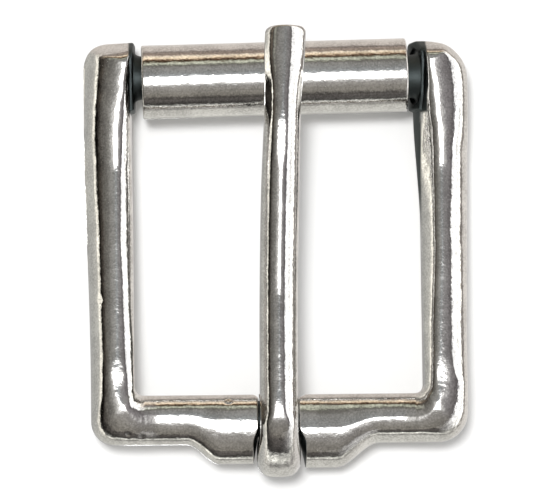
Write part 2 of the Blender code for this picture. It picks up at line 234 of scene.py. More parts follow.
# Small dents and pits of the casting: x, y, radius and depth
FRAME_NICKS = (
    (-24.3, 16.4, 0.35, 0.16),
    (-7.0, 2.4, 0.3, 0.25),
    (-20.6, -2.0, 0.3, 0.2),
    (-18.8, -2.3, 0.25, 0.15),
    (20.0, 7.3, 0.25, 0.3),
)
# Dark cast skin on the spindle and the neck, which also stands as painted shade in the gaps beside the
# roller's ends and the tongue's loop
SKIN_AND_SHADE_END = {"left": 20.35, "right": 20.8}  # how far out along the spindle the cast skin and painted shade reach
SKIRT_SKIN_AND_SHADE = (10.0, 20.0)  # x between which the foot of the right ear has it: painted shade where the wall faces the roller's end
SKIRT_SKIN_AND_SHADE_START_Y = 24.0
NECK_SKIN_AND_SHADE_X = 3.9
NECK_SKIN_AND_SHADE_Y = 10.0

INNER_X = STRAP_WIDTH / 2
OUTER_X = INNER_X + BAR_WIDTH
HEEL_HALF = HEEL_WIDTH / 2
EAR_START_Y = SPINDLE_Y - EAR_REACH
EAR_THICKNESS = THICKNESS_BY_Y[-1][1]

# ---- mesh fineness ----

DOME_SAMPLES = 160
HALF_POINTS = 34
WALL_POINTS = 4
EDGE_POINTS = 5
DOME_POINTS = 2 * (HALF_POINTS + WALL_POINTS) + 1
CORNER_STEPS = 44
EAR_STEPS = 110
EAR_STATIONS = 30
SPINDLE_STEPS = 10
ROUND_STEPS = 14
HEEL_STEPS = 64
BAR_STEP = 0.45
ROLLER_STEPS = 180
ROLLER_RINGS = 150
ROLLER_EDGE_STEPS = 4
TIP_STEPS = 14
BODY_STEP = 0.4
LEAD_STEPS = 32
CUSP_STEPS = 16
LOOP_STEPS = 120
SHARP_ANGLE = 40.0


def joint(name):
    return next(j for j in frame["joints"] if j["name"] == name)


NECK = Vector(joint("tongue_swing")["pos_m"])
ROLLER_AXIS_POINT = Vector(joint("roller_spin")["pos_m"])
ROLLER_AXIS = Vector(joint("roller_spin")["axis"]).normalized()


def ease(t):
    """Smooth step from 0 to 1, flat at both ends."""
    t = min(max(t, 0.0), 1.0)
    return t * t * (3.0 - 2.0 * t)


def along(knots, at):
    """Value at a place on a smooth curve through (place, value) knots."""
    if at <= knots[0][0]:
        return knots[0][1]
    for (a, low), (b, high) in zip(knots, knots[1:]):
        if at <= b:
            return low + (high - low) * ease((at - a) / (b - a))
    return knots[-1][1]


def along_line(knots, at):
    """Value at a place on straight lines through (place, value) knots."""
    return float(np.interp(at, [place for place, _ in knots], [value for _, value in knots]))


def smoothed_line(knots, at, reach):
    """Value on straight lines through the knots, with their corners rounded over a reach."""
    places = [at + reach * (i - 4) / 4 for i in range(9)]
    return sum(along_line(knots, place) for place in places) / len(places)


def between(a, b, share):
    return a + (b - a) * share


def all_between(a, b, share):
    return tuple(between(x, y, share) for x, y in zip(a, b))


DOME_SLOPES = (0.0, 7.5, 13.0, 25.0, 45.0, 56.0, 63.0, 72.0, 86.0)
SOFT_TURN = 0.38  # how far past 45 degrees a flank slopes 56 degrees
STEEPEST_RISE = 20.0
HALVINGS = 24  # of the range in which the limit on a flank's rise is looked for


def half_dome(reach, shoulder, turn, room, flat=DOME_FLAT):
    """One side of a domed bar, from its crest to its edge: distances and drops.

    It slopes 25 degrees at the shoulder and 45 at the turn, and ends nearly upright. room is how
    far it may drop.
    """
    flank = reach - turn
    soft = min(SOFT_TURN, 0.45 * flank)
    # Where it has each of DOME_SLOPES
    places = (
        0.0,
        flat * shoulder,
        (0.35 + 0.65 * flat) * shoulder,
        shoulder,
        turn,
        turn + soft,
        turn + min(2.4 * soft, 0.8 * flank),
        reach - 0.1 * flank,
        reach,
    )
    distance = np.unique(np.concatenate([np.linspace(0.0, reach, DOME_SAMPLES), places]))
    slope = np.interp(distance, places, DOME_SLOPES)
    rise = np.tan(np.radians(slope))
    rise = np.minimum(rise, steepest(distance, rise, room))
    drop = running_sum(distance, rise)
    pace = 0.6 * slope / slope[-1] + 0.4 * distance / reach  # points crowd where it bends most
    even = np.linspace(0.0, 1.0, HALF_POINTS + 1)
    return np.interp(even, pace, distance), np.interp(even, pace, drop)


def steepest(distance, rise, room):
    """Limit on the rise that keeps the whole drop within the room."""
    low, high = 1.0, STEEPEST_RISE
    for _ in range(HALVINGS):
        middle = (low + high) / 2
        if running_sum(distance, np.minimum(rise, middle))[-1] > room:
            high = middle
        else:
            low = middle
    return low


def running_sum(places, values):
    steps = np.diff(places) * (values[1:] + values[:-1]) / 2
    return np.concatenate([[0.0], np.cumsum(steps)])


def domed_section(width, height, inner, outer, edge=BACK_EDGE, foot=WALL_FOOT, flat=DOME_FLAT):
    """Closed outline with a domed top and a flat back.

    Its points are (distance from the inner edge, height). inner and outer are the reach, shoulder
    and turn of the dome's two sides.
    """
    inner_dome = np.transpose(half_dome(*inner, height - foot, flat))
    outer_dome = np.transpose(half_dome(*outer, height - foot, flat))
    crest = inner[0]
    top = [(crest - across, height - drop) for across, drop in inner_dome[::-1]]
    top += [(crest + across, height - drop) for across, drop in outer_dome[1:]]
    return closed_section(width, top, edge, foot)


def closed_section(width, top, edge=BACK_EDGE, foot=WALL_FOOT):
    """Outline with a given top line, upright walls, rounded back edges and a flat back."""
    top = [(across, max(up, foot + LEAST_WALL)) for across, up in top]
    points = wall(0.0, foot, top[0][1])[:-1] + top + wall(width, foot, top[-1][1])[-2::-1]
    corner = []
    for i in range(1, EDGE_POINTS + 2):
        angle = math.pi / 2 * i / (EDGE_POINTS + 1)
        corner.append((edge * (1.0 - math.cos(angle)), foot * (1.0 - math.sin(angle))))
    points += [(width - across, up) for across, up in corner]
    points += [(across, up) for across, up in reversed(corner)]
    return points


def wall(across, low, high):
    """Upright side of a section, from its foot upwards."""
    return [(across, low + (high - low) * i / WALL_POINTS) for i in range(WALL_POINTS + 1)]


# ---- frame ----


def frame_ring(inner, outer, section, height, inset=0.0, skirt=0.0, spread=0.0):
    """Section of the frame between two points of its plan, its inner and its outer edge.

    skirt pushes the section's foot towards the middle of the buckle: only its inner half, or all of
    it where spread is 1.
    """
    inner, outer = Vector(inner), Vector(outer)
    width = (outer - inner).length
    way = (outer - inner) / width
    side = math.copysign(1.0, inner.x)
    ring = []
    for across, up in section:
        plan = inner + way * (inset + across * (width - 2.0 * inset) / width)
        foot = 1.0 - ease(up / height)
        share = spread + (1.0 - spread) * ease(1.0 - 2.0 * across / width)
        rise = BACK_Z + inset + up * (height - 2.0 * inset) / height
        ring.append((plan.x - side * skirt * foot * share, plan.y, rise))
    return ring


def rounded_reach(start, way, corner, radius):
    """Where a ray leaves a quarter of a rounded rectangle, whose corner is far along x and y."""
    reach = min(abs(corner[i] - start[i]) / max(abs(way[i]), 1e-9) for i in (0, 1))
    point = start + way * reach
    centre = Vector([c - math.copysign(radius, w) for c, w in zip(corner, way)])
    beyond = [(point[i] - centre[i]) * math.copysign(1.0, way[i]) > 0.0 for i in (0, 1)]
    if not all(beyond):
        return point
    offset = start - centre
    ahead = offset.dot(way)
    return start + way * (math.sqrt(ahead**2 - offset.length_squared + radius**2) - ahead)


def bar_inner_x(side, y):
    return INNER_X + EAR_EASE[side] * ease((y - EAR_START_Y + SKIRT_LENGTH) / SKIRT_LENGTH)


def bar_skirt(side, y):
    return SKIRT[side] * ease((y - EAR_START_Y + SKIRT_LENGTH) / SKIRT_LENGTH)


def bar_outer_x(y):
    return OUTER_X + BAR_SWELL * ease((y - HEEL_HALF) / (EAR_START_Y - HEEL_HALF))


def thickness(y):
    return smoothed_line(THICKNESS_BY_Y, y, THICKNESS_SMOOTHING)


def heel_thickness(x):
    return smoothed_line(HEEL_THICKNESS_BY_X, x, HEEL_SMOOTHING)


def bar_sides(side, y):
    """Reach, shoulder and turn of the inner and of the outer side of a side bar."""
    lines = BAR_LINES[side]
    at = [along([(place, values[i]) for place, values in lines], y) for i in range(5)]
    inner_turn, inner_shoulder, crest, outer_shoulder, outer_turn = at
    inner = (crest - bar_inner_x(side, y), crest - inner_shoulder, crest - inner_turn)
    outer = (bar_outer_x(y) - crest, outer_shoulder - crest, outer_turn - crest)
    return inner, outer


def wall_lean(side, z):
    """How far the ear's inner wall comes in at a height."""
    return SKIRT[side] * (1.0 - ease((z - BACK_Z) / EAR_THICKNESS))


def round_section():
    """Unit circle with as many points as a frame section, from y = 1 over the top."""
    over = DOME_POINTS - 1
    under = 2 * (EDGE_POINTS + 1) + 1
    points = []
    for i in range(over + under):
        angle = math.pi * (i / over if i < over else 1.0 + (i - over) / under)
        points.append((math.cos(angle), math.sin(angle)))
    return points


def oval_ring(x, radius, half_height):
    """Oval section of the spindle, with its points in the order of a frame section."""
    return [(x, SPINDLE_Y - radius * y, half_height * z) for y, z in round_section()]


def spindle_rings(side, sign):
    """Half of the spindle, from the middle to the ear that it flares into."""
    wall_x = bar_inner_x(side, EAR_START_Y) - EAR_PIVOT_RADIUS - WALL_ROUND
    rings = []
    for i in range(1, SPINDLE_STEPS):
        x = sign * (wall_x - FLARE_LENGTH) * i / SPINDLE_STEPS
        rings.append(oval_ring(x, SPINDLE_RADIUS, SPINDLE_HEIGHT))
    for i in range(ROUND_STEPS + 1):
        flare = 1.0 - math.cos(math.pi / 2 * i / ROUND_STEPS)
        x = wall_x - FLARE_LENGTH * (1.0 - math.sin(math.pi / 2 * i / ROUND_STEPS))
        radius = SPINDLE_RADIUS + (FLARE_RADIUS - SPINDLE_RADIUS) * flare
        half_height = SPINDLE_HEIGHT + (FLARE_HEIGHT - SPINDLE_HEIGHT) * flare
        ring = oval_ring(sign * x, radius, half_height)
        rings.append([(px - sign * wall_lean(side, z) * flare, py, z) for px, py, z in ring])
    return rings


def ear_rings(side):
    """Sections that fan round an ear, from its inner wall to the side bar."""
    pivot = Vector((bar_inner_x(side, EAR_START_Y) - EAR_PIVOT_RADIUS, EAR_START_Y))
    corner = (bar_outer_x(EAR_START_Y), SPINDLE_Y + EAR_REACH)
    ear_top = EarTop(side)
    x = ear_top.domes[0][0]
    shares = (x - x[0]) / (x[-1] - x[0])
    rings = []
    for i in range(EDGE_POINTS + 1, 0, -1):
        angle = math.pi / 2 * i / (EDGE_POINTS + 1)
        x = pivot.x - WALL_ROUND * math.sin(angle)
        inner = (x, pivot.y + EAR_PIVOT_RADIUS)
        outer = (x, corner[1])
        inset = WALL_ROUND * (1.0 - math.cos(angle))
        rings.append(ear_ring(ear_top, shares, inner, outer, 1.0, inset))
    for i in range(EAR_STEPS, 0, -1):
        angle = math.pi / 2 * i / EAR_STEPS
        way = Vector((math.cos(angle), math.sin(angle)))
        outer = rounded_reach(pivot, way, corner, EAR_RADIUS[side])
        inner = pivot + way * EAR_PIVOT_RADIUS
        rings.append(ear_ring(ear_top, shares, inner, outer, i / EAR_STEPS))
    return rings


class EarTop:
    """Height of an ear's top: the side bar's dome runs on to a steep end, with a crease between."""

    def __init__(self, side):
        self.side = side
        self.stations = np.linspace(EAR_START_Y, SPINDLE_Y + EAR_REACH, EAR_STATIONS)
        self.domes = [self.dome(y) for y in self.stations]
        self.ends = []
        for point, facing, shoulder, level in EAR_ENDS[side]:
            way = Vector((math.cos(math.radians(facing)), math.sin(math.radians(facing))))
            start = Vector(point).dot(way) - level
            sides = (level + EAR_END_REACH, level - shoulder, level)
            self.ends.append((way, start, half_dome(*sides, EAR_THICKNESS - WALL_FOOT)))

    def dome(self, y):
        """The side bar's section at a place: x from its inner to its outer edge, and drops."""
        inner, outer = bar_sides(self.side, y)
        room = thickness(y) - WALL_FOOT
        across, drop = half_dome(*inner, room, EAR_FLAT)
        crest = bar_inner_x(self.side, y) + inner[0]
        outer_across, outer_drop = half_dome(*outer, room, EAR_FLAT)
        x = np.concatenate([crest - across[::-1], crest + outer_across[1:]])
        return x, np.concatenate([drop[::-1], outer_drop[1:]])

    def height(self, x, y):
        x_drops = [np.interp(x, *dome) for dome in self.domes]
        side_drop = np.interp(y, self.stations, x_drops)
        total = side_drop**EAR_CREASE
        for way, start, dome in self.ends:
            total += np.interp(way.dot(Vector((x, y))) - start, *dome) ** EAR_CREASE
        return thickness(y) - total ** (1.0 / EAR_CREASE)


def ear_ring(ear_top, shares, inner, outer, turned, inset=0.0):
    """Section of an ear. turned is 0 across the side bar and 1 along the inner wall."""
    inner, outer = Vector(inner), Vector(outer)
    width = (outer - inner).length
    even = np.linspace(0.0, 1.0, len(shares))
    mixed = between(np.array(shares), even, ease(2.0 * turned))
    top = []
    for share in mixed:
        place = inner + (outer - inner) * float(share)
        top.append((width * float(share), ear_top.height(place.x, place.y)))
    sign = {"left": -1.0, "right": 1.0}[ear_top.side]
    return frame_ring(
        (sign * inner.x, inner.y),
        (sign * outer.x, outer.y),
        closed_section(width, top),
        thickness(inner.y),
        inset=inset,
        skirt=SKIRT[ear_top.side],
        spread=ease(3.0 * turned - 2.0),
    )


def bar_rings(side, sign):
    """Sections of one side bar, from its ear down to the heel corner."""
    end = HEEL_HALF + HEEL_INNER_RADIUS
    steps = round((EAR_START_Y - end) / BAR_STEP)
    rings = []
    for i in range(steps + 1):
        y = EAR_START_Y + (end - EAR_START_Y) * i / steps
        inner, outer = bar_sides(side, y)
        height = thickness(y)
        flat = along(FLAT_BY_Y, y)
        section = domed_section(inner[0] + outer[0], height, inner, outer, flat=flat)
        rings.append(
            frame_ring(
                (sign * bar_inner_x(side, y), y),
                (sign * bar_outer_x(y), y),
                section,
                height,
                skirt=bar_skirt(side, y),
            )
        )
    return rings


def heel_corner_rings(side, sign):
    """Sections that fan round one heel corner."""
    pivot = Vector((INNER_X - HEEL_INNER_RADIUS, HEEL_HALF + HEEL_INNER_RADIUS))
    rings = []
    for i in range(1, CORNER_STEPS):
        angle = math.pi / 2 * i / CORNER_STEPS
        way = Vector((math.cos(angle), -math.sin(angle)))
        inner = pivot + way * HEEL_INNER_RADIUS
        outer = rounded_reach(pivot, way, (OUTER_X, -HEEL_HALF), HEEL_OUTER_RADIUS[side])
        turned = ease(i / CORNER_STEPS)
        width = (outer - inner).length
        bar_inner, bar_outer = bar_sides(side, pivot.y)
        heel_inner, heel_outer = heel_sides(side, pivot.x)
        inner_side = all_between(bar_inner, heel_inner, turned)
        outer_side = all_between(bar_outer, heel_outer, turned)
        reach = width - inner_side[0]
        ease_off = reach / outer_side[0]
        outer_side = (reach, outer_side[1] * ease_off, reach - (outer_side[0] - outer_side[2]))
        height = corner_thickness(pivot, i / CORNER_STEPS)
        flats = ((0.0, FLAT_BY_Y[0][1]), (0.3, CORNER_FLAT), (0.7, CORNER_FLAT), (1.0, HEEL_FLAT[side]))
        section = domed_section(width, height, inner_side, outer_side, flat=along(flats, turned))
        rings.append(frame_ring((sign * inner.x, inner.y), (sign * outer.x, outer.y), section, height))
    return rings


def corner_thickness(pivot, share):
    """Thickness of a heel corner, by the share of the way round it."""
    start, end = thickness(pivot.y), heel_thickness(pivot.x)
    knots = ((0.0, start), (CORNER_PEAK, start + CORNER_RISE), (1.0, end), (1.2, end - CORNER_RISE))
    return smoothed_line(knots, share, CORNER_SMOOTHING)


def bulge_share(side, x):
    """How much of the heel bar's bulge there is at a distance from the middle, from 0 to 1."""
    return 1.0 - ease((x - BULGE_FLAT[side]) / (BULGE_END[side] - BULGE_FLAT[side]))


def heel_sides(side, x):
    """Reach, shoulder and turn of the inner and of the outer side of the heel bar."""
    bulge = bulge_share(side, x)
    crest = HEEL_CREST[side] + BULGE_CREST[side] * bulge
    reach = HEEL_WIDTH + BULGE[side] * bulge - crest
    turn = reach - HEEL_OUTER_TURN[side]
    inner = (crest, crest - HEEL_INNER_LINES[1], crest - HEEL_INNER_LINES[0])
    return inner, (reach, HEEL_OUTER_SHOULDER * turn, turn)


def heel_ring(side, sign, x, inset=0.0):
    """Section across the heel bar at a distance from the middle."""
    height = heel_thickness(x)
    outer_y = -HEEL_HALF - BULGE[side] * bulge_share(side, x)
    inner, outer = heel_sides(side, x)
    section = domed_section(HEEL_HALF - outer_y, height, inner, outer, flat=HEEL_FLAT[side])
    ring = frame_ring((sign * x, HEEL_HALF), (sign * x, outer_y), section, height, inset=inset)
    back = sign * STEP_BACK[side] * max(1.0 - (x - SHOULDER_X[side]) / STEP_BACK_LENGTH, 0.0)
    return [(px + back * step_back_share(py, pz), py, pz) for px, py, pz in ring]


def step_back_share(y, z):
    """Share of a shoulder's step back at a place about the neck."""
    angle = math.degrees(math.atan2(z, y))
    return along(STEP_BACK_SHARE, angle + 360.0 if angle < -90.0 else angle)


def heel_rings(side, sign):
    """Sections of one half of the heel bar, from its corner to the middle of the neck."""
    shoulder = SHOULDER_X[side]
    start = INNER_X - HEEL_INNER_RADIUS
    end = shoulder + SHOULDER_ROUND
    rings = []
    for i in range(HEEL_STEPS + 1):
        rings.append(heel_ring(side, sign, start + (end - start) * i / HEEL_STEPS))
    for i in range(1, EDGE_POINTS + 2):
        angle = math.pi / 2 * i / (EDGE_POINTS + 1)
        x = shoulder + SHOULDER_ROUND * (1.0 - math.sin(angle))
        rings.append(heel_ring(side, sign, x, inset=SHOULDER_ROUND * (1.0 - math.cos(angle))))
    for part in (1.0, 0.75, 0.5, 0.25):
        x = sign * shoulder * part
        rings.append([(x, NECK_RADIUS * y, NECK_RADIUS * z) for y, z in round_section()])
    return rings


def half_frame_rings(side, sign):
    """Sections of half the frame, from the middle of the spindle to the middle of the neck."""
    rings = spindle_rings(side, sign) + ear_rings(side)
    return rings + bar_rings(side, sign) + heel_corner_rings(side, sign) + heel_rings(side, sign)


def frame_rings():
    right = half_frame_rings("right", 1)
    left = half_frame_rings("left", -1)
    return right + left[::-1]


# ---- roller ----


def roller_section(radius, bore_radius):
    """Open ring of sheet metal, as (y, z) points about the roller's axis."""
    half_seam = math.asin(SEAM_WIDTH / 2 / radius)
    start = math.radians(SEAM_ANGLE) + half_seam
    sweep = 2 * math.pi - 2 * half_seam
    angles = [start + sweep * i / ROLLER_STEPS for i in range(ROLLER_STEPS + 1)]
    outside = [(radius * math.cos(a), radius * math.sin(a)) for a in angles]
    inside = [(bore_radius * math.cos(a), bore_radius * math.sin(a)) for a in reversed(angles)]
    return outside + inside


def roller_rings():
    """Sections along the roller, with rounded rims."""
    left, right = ROLLER_ENDS
    stations = []
    for i in range(ROLLER_EDGE_STEPS):
        angle = math.pi / 2 * i / ROLLER_EDGE_STEPS
        bevel = ROLLER_EDGE * (1.0 - math.sin(angle))
        stations.append((left + ROLLER_EDGE * (1.0 - math.cos(angle)), bevel))
    for i in range(ROLLER_RINGS + 1):
        stations.append((left + ROLLER_EDGE + (right - left - 2 * ROLLER_EDGE) * i / ROLLER_RINGS, 0.0))
    stations += [(right + left - x, bevel) for x, bevel in reversed(stations[:ROLLER_EDGE_STEPS])]
    rings = []
    for x, bevel in stations:
        section = roller_section(ROLLER_RADIUS - bevel, ROLLER_BORE_RADIUS)
        rings.append([(x, y, z) for y, z in section])
    return rings


# ---- tongue ----


def tongue_side_shift(y):
    return TONGUE_SHIFT + TONGUE_BEND * (max(y, 0.0) / SPINDLE_Y) ** 2


def tip_share(y):
    """How far along the rounding of the tip's corners a place is, from 0 to 1."""
    along_corner = min(max(1.0 - (TIP_Y - y) / TIP_CHAMFER, 0.0), 1.0)
    return 1.0 - math.sqrt(1.0 - along_corner**2)


def tongue_width(y):
    """Width of the tongue's body, with its rounded tip and its widening towards the loop."""
    width = along(TONGUE_WIDTHS, y)
    return width - (width - TIP_WIDTH) * tip_share(y)


def tongue_ring(foot, crest, width, foot_share):
    """Section of the tongue between its underside and its crest, both points of its side view."""
    foot, crest = Vector(foot), Vector(crest)
    rise = crest - foot
    height = rise.length
    over_loop = ease((LOOP_FLANK_START_Y - crest.x) / LOOP_FLANK_LENGTH)
    near_tip = ease((crest.x - TIP_FLANK_START_Y) / TIP_FLANK_LENGTH)
    flanks = all_between(all_between(BODY_FLANK, TIP_FLANK, near_tip), LOOP_FLANK, over_loop)
    shoulders = all_between(BODY_SHOULDER, LOOP_SHOULDER, over_loop)
    narrow = width / along(TONGUE_WIDTHS, crest.x)
    sides = []
    for flank, shoulder in zip(flanks, shoulders):
        turn = width / 2 - flank * min(narrow, 1.0)
        sides.append((width / 2, shoulder * turn, turn))
    flat = along(TONGUE_FLAT, crest.x)
    section = domed_section(width, height, *sides, edge=TONGUE_EDGE, foot=foot_share * height, flat=flat)
    ring = []
    for across, up in section:
        y, z = foot + rise * (up / height)
        ring.append((across - width / 2 + tongue_side_shift(y), y, z))
    return ring


def underside_at(y):
    """Point of the tongue's underside in its side view."""
    return y, along(TONGUE_UNDERSIDE, y)


def crest_at(y):
    """Point of the tongue's crest in its side view, which rounds off at the tip."""
    height = smoothed_line(TONGUE_TOP, y, min(TOP_SMOOTHING, y))
    edge = max(1.0 - (TIP_Y - y) / TIP_EDGE, 0.0)
    return y, height - TIP_EDGE * (1.0 - math.sqrt(1.0 - min(edge, 1.0) ** 2))


def polar(radius, angle):
    return radius * math.cos(math.radians(angle)), radius * math.sin(math.radians(angle))


def loop_crest(angle):
    """Outside of the loop, by its angle about the neck from +Y towards +Z, in degrees."""
    return polar(smoothed_line(LOOP_RADII, angle, min(LOOP_SMOOTHING, angle - 90.0)), angle)


def tongue_rings():
    return tongue_body_rings() + tongue_lead_rings() + tongue_loop_rings()


def tongue_body_rings():
    """Sections from the tip to where the body starts to turn into the loop."""
    tip_end = TIP_Y - TIP_CHAMFER
    places = [TIP_Y - TIP_CHAMFER * (1.0 - math.cos(math.pi / 2 * i / TIP_STEPS)) for i in range(TIP_STEPS)]
    steps = round((tip_end - LEAD_START_Y) / BODY_STEP)
    places += [tip_end + (LEAD_START_Y - tip_end) * i / steps for i in range(steps + 1)]
    return [tongue_ring(underside_at(y), crest_at(y), tongue_width(y), BODY_FOOT) for y in places]


def tongue_lead_rings():
    """Sections of the body that lean over into the loop."""
    rings = []
    for i in range(1, LEAD_STEPS):
        share = i / LEAD_STEPS
        foot_y, crest_y = (
            along_line([(k / (len(LEAD) - 1), pair[end]) for k, pair in enumerate(LEAD)], share)
            for end in (0, 1)
        )
        foot_share = between(BODY_FOOT, CUSP_FOOT, share)
        foot, crest = underside_at(foot_y), crest_at(crest_y)
        rings.append(tongue_ring(foot, crest, tongue_width(crest_y), foot_share))
    return rings


def tongue_loop_rings():
    """Sections of the loop round the neck, from its cusp under the body to its tail."""
    rings = []
    for i in range(CUSP_STEPS):
        foot = polar(BORE_RADIUS, CUSP_ANGLE + (90.0 - CUSP_ANGLE) * i / CUSP_STEPS)
        crest = crest_at(LOOP_START_Y * (1.0 - i / CUSP_STEPS))
        rings.append(tongue_ring(foot, crest, tongue_width(crest[0]), CUSP_FOOT))
    for i in range(LOOP_STEPS + 1):
        angle = 90.0 + (TAIL_ANGLE - 90.0) * i / LOOP_STEPS
        width = along(LOOP_WIDTHS, angle)
        rings.append(tongue_ring(polar(BORE_RADIUS, angle), loop_crest(angle), width, LOOP_FOOT))
    return rings


# ---- meshes ----


def hand_polish(place, seed):
    """How far hand polishing leaves a point off the true shape, in millimetres."""
    slow = noise.noise(place * POLISH_SLOW_SCALE + Vector((seed, 0.0, 0.0)))
    quick = noise.noise(place * POLISH_QUICK_SCALE + Vector((0.0, seed, 0.0)))
    return POLISH_SLOW * slow + POLISH_QUICK * quick


def past(value, start, length):
    """How far a value is past its start, from 0 there to 1 after a length."""
    return ease((value - start) / length)


def short_of(value, end, length):
    """How far a value is short of its end, from 0 there to 1 a length before it."""
    return ease((end - value) / length)


def skin_and_gap_shade_at(place, normal):
    """Share of dark as-cast skin and painted shade: on the spindle and the neck, where no polishing wheel
    reaches, and as painted shade also at the foot of the right ear's wall and on the shoulders' ends beside
    the tongue's loop.
    """
    side = "right" if place.x > 0.0 else "left"
    across = abs(place.x)
    spindle = past(place.y, EAR_START_Y - 0.3, 0.3) * short_of(across, SKIN_AND_SHADE_END[side], 0.25)
    skirt = past(place.x, SKIRT_SKIN_AND_SHADE[0], 5.0) * short_of(place.x, SKIRT_SKIN_AND_SHADE[1], 0.2)
    skirt *= past(place.y, SKIRT_SKIN_AND_SHADE_START_Y, 8.0)
    neck = max(past(abs(normal.x), 0.7, 0.2), short_of(across, SHOULDER_X[side] + 0.02, 0.01))
    neck *= short_of(across, NECK_SKIN_AND_SHADE_X, 0.2) * short_of(place.y, NECK_SKIN_AND_SHADE_Y, 2.0)
    return max(spindle, skirt, neck)


def mesh_through(rings, closed):
    """Mesh through rings of points, whose ends are filled or joined."""
    bm = bmesh.new()
    loops = [[bm.verts.new(p) for p in ring] for ring in rings]
    pairs = list(zip(loops, loops[1:]))
    if closed:
        pairs.append((loops[-1], loops[0]))
    for a, b in pairs:
        for i in range(len(a)):
            j = (i + 1) % len(a)
            bm.faces.new((a[i], a[j], b[j], b[i]))
    if not closed:
        bm.faces.new(loops[0])
        bm.faces.new(loops[-1])
    bmesh.ops.recalc_face_normals(bm, faces=bm.faces[:])
    bm.normal_update()
    return bm


def polish(bm, seed, round_piece):
    """Leaves the marks of hand polishing: all round on the roller, elsewhere only on the front."""
    for vert in bm.verts:
        offset = hand_polish(vert.co, seed)
        if round_piece:
            vert.co += vert.normal * offset * ROUND_POLISH
        else:
            vert.co.z += max(vert.normal.z, 0.0) * offset


def dent(bm, nicks):
    """Presses small dents into the front."""
    for x, y, radius, depth in nicks:
        for vert in bm.verts:
            if vert.co.z > 0.0:
                off = ((vert.co.x - x) ** 2 + (vert.co.y - y) ** 2) / radius**2
                vert.co.z -= depth * math.exp(-off)


def add_piece(name, rings, closed=False, seed=0.0, round_piece=False, skinned_and_gap_shaded=False, nicks=()):
    """Smooth piece through rings of points, with the marks of its casting and polishing."""
    bm = mesh_through(rings, closed)
    polish(bm, seed, round_piece)
    dent(bm, nicks)
    for vert in bm.verts:
        vert.co *= MM
    mesh = bpy.data.meshes.new(name)
    bm.to_mesh(mesh)
    bm.free()
    # dark cast skin, which also paints the shade in the frame's gaps, by point
    skin_and_shade = mesh.attributes.new("cast_skin_and_gap_shade", "FLOAT", "POINT")
    if skinned_and_gap_shaded:
        skin_and_shade.data.foreach_set("value", [skin_and_gap_shade_at(v.co / MM, v.normal) for v in mesh.vertices])
    mesh.shade_smooth()
    mesh.set_sharp_from_angle(angle=math.radians(SHARP_ANGLE))
    piece = bpy.data.objects.new(name, mesh)
    bpy.context.scene.collection.objects.link(piece)
    return piece


# ---- materials ----


class Nodes:
    """Short way to write a node tree."""

    def __init__(self, tree):
        self.tree = tree
        tree.nodes.clear()

    def add(self, kind, inputs=None, **settings):
        node = self.tree.nodes.new(kind)
        for key, value in settings.items():
            setattr(node, key, value)
        for key, value in (inputs or {}).items():
            socket = node.inputs[key]
            if isinstance(value, bpy.types.NodeSocket):
                self.tree.links.new(value, socket)
            else:
                socket.default_value = value
        return node

    def math(self, operation, *values):
        inputs = dict(enumerate(values))
        return self.add("ShaderNodeMath", inputs, operation=operation).outputs[0]

    def product(self, *values):
        result = values[0]
        for value in values[1:]:
            result = self.math("MULTIPLY", result, value)
        return result

    def smooth(self, value, low, high, out_low=0.0, out_high=1.0):
        """Smooth step between two numbers as the value goes from low to high."""
        inputs = {"Value": value, "From Min": low, "From Max": high, "To Min": out_low, "To Max": out_high}
        return self.add("ShaderNodeMapRange", inputs, interpolation_type="SMOOTHSTEP").outputs[0]

    def mix(self, share, a, b):
        inputs = {0: share, 6: a, 7: b}
        return self.add("ShaderNodeMix", inputs, data_type="RGBA").outputs[2]

    def noise(self, vector, scale, detail=2.0, roughness=0.5):
        inputs = {"Vector": vector, "Scale": scale, "Detail": detail, "Roughness": roughness}
        return self.add("ShaderNodeTexNoise", inputs).outputs[0]


# Noises by scale per metre, detail and roughness
CLOUDS = (300.0, 4.0, 0.6)
SPECKLE = (3600.0, 2.0, 0.6)
GRAIN = (3000.0, 3.0, 0.65)
RIPPLE = (900.0, 2.0, 0.5)
GRAIN_DEPTH = 0.02
RIPPLE_DEPTH = 0.06
DULLEST = 2.2  # roughness where it is stained most, over the clean metal's
# Dark cast skin, which also stands as painted shade in the gaps beside the roller and the tongue's loop
SKIN_AND_SHADE_COLOUR = (0.055, 0.065, 0.066)
SKIN_AND_SHADE_ROUGHNESS = 0.42  # added to the metal's own
CLEAN_TINT = 1.1
STAINED_TINT = 0.76


def tinted(colour, tint=1.0):
    return (*[c * tint for c in colour], 1.0)


